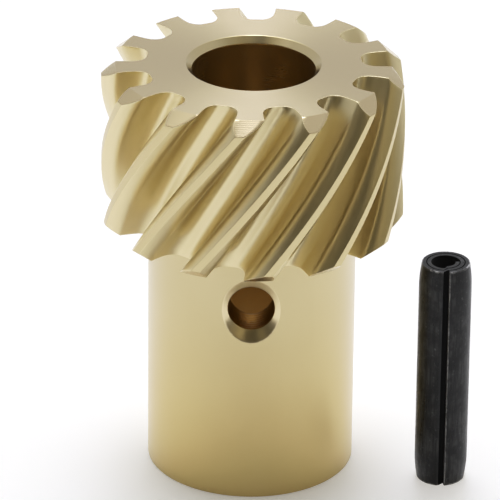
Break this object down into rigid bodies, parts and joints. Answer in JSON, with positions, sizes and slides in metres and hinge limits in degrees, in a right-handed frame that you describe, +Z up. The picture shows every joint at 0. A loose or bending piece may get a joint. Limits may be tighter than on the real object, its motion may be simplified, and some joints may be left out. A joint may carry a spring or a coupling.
{
  "type": "helical drive gear set",
  "caption": "One-piece bronze helical gear with a long plain hub, a through bore and a countersunk cross hole, with a coiled spring pin standing beside it.",
  "frame": {"origin": "middle of the set's footprint, on the surface that the hub end and the pin stand on", "axes": "+Z up along the gear's bore axis, from the hub end to the toothed end; the cross hole runs along Y; the pin stands on the +X side"},
  "size_m": [0.0386, 0.0314, 0.0449],
  "materials": {
    "bronze": "turned and hobbed bare bronze, fine machining marks",
    "black_oxide": "black oxide on rolled spring steel"
  },
  "bodies": {
    "gear": {"drive_gear": "bronze"},
    "pin": {"spring_pin": "black_oxide"}
  },
  "joints": [
    {"name": "pin_lift", "type": "slide", "parent": "gear", "child": "pin", "axis": [0, 0, 1], "range_m": [0, 0.05]}
  ]
}
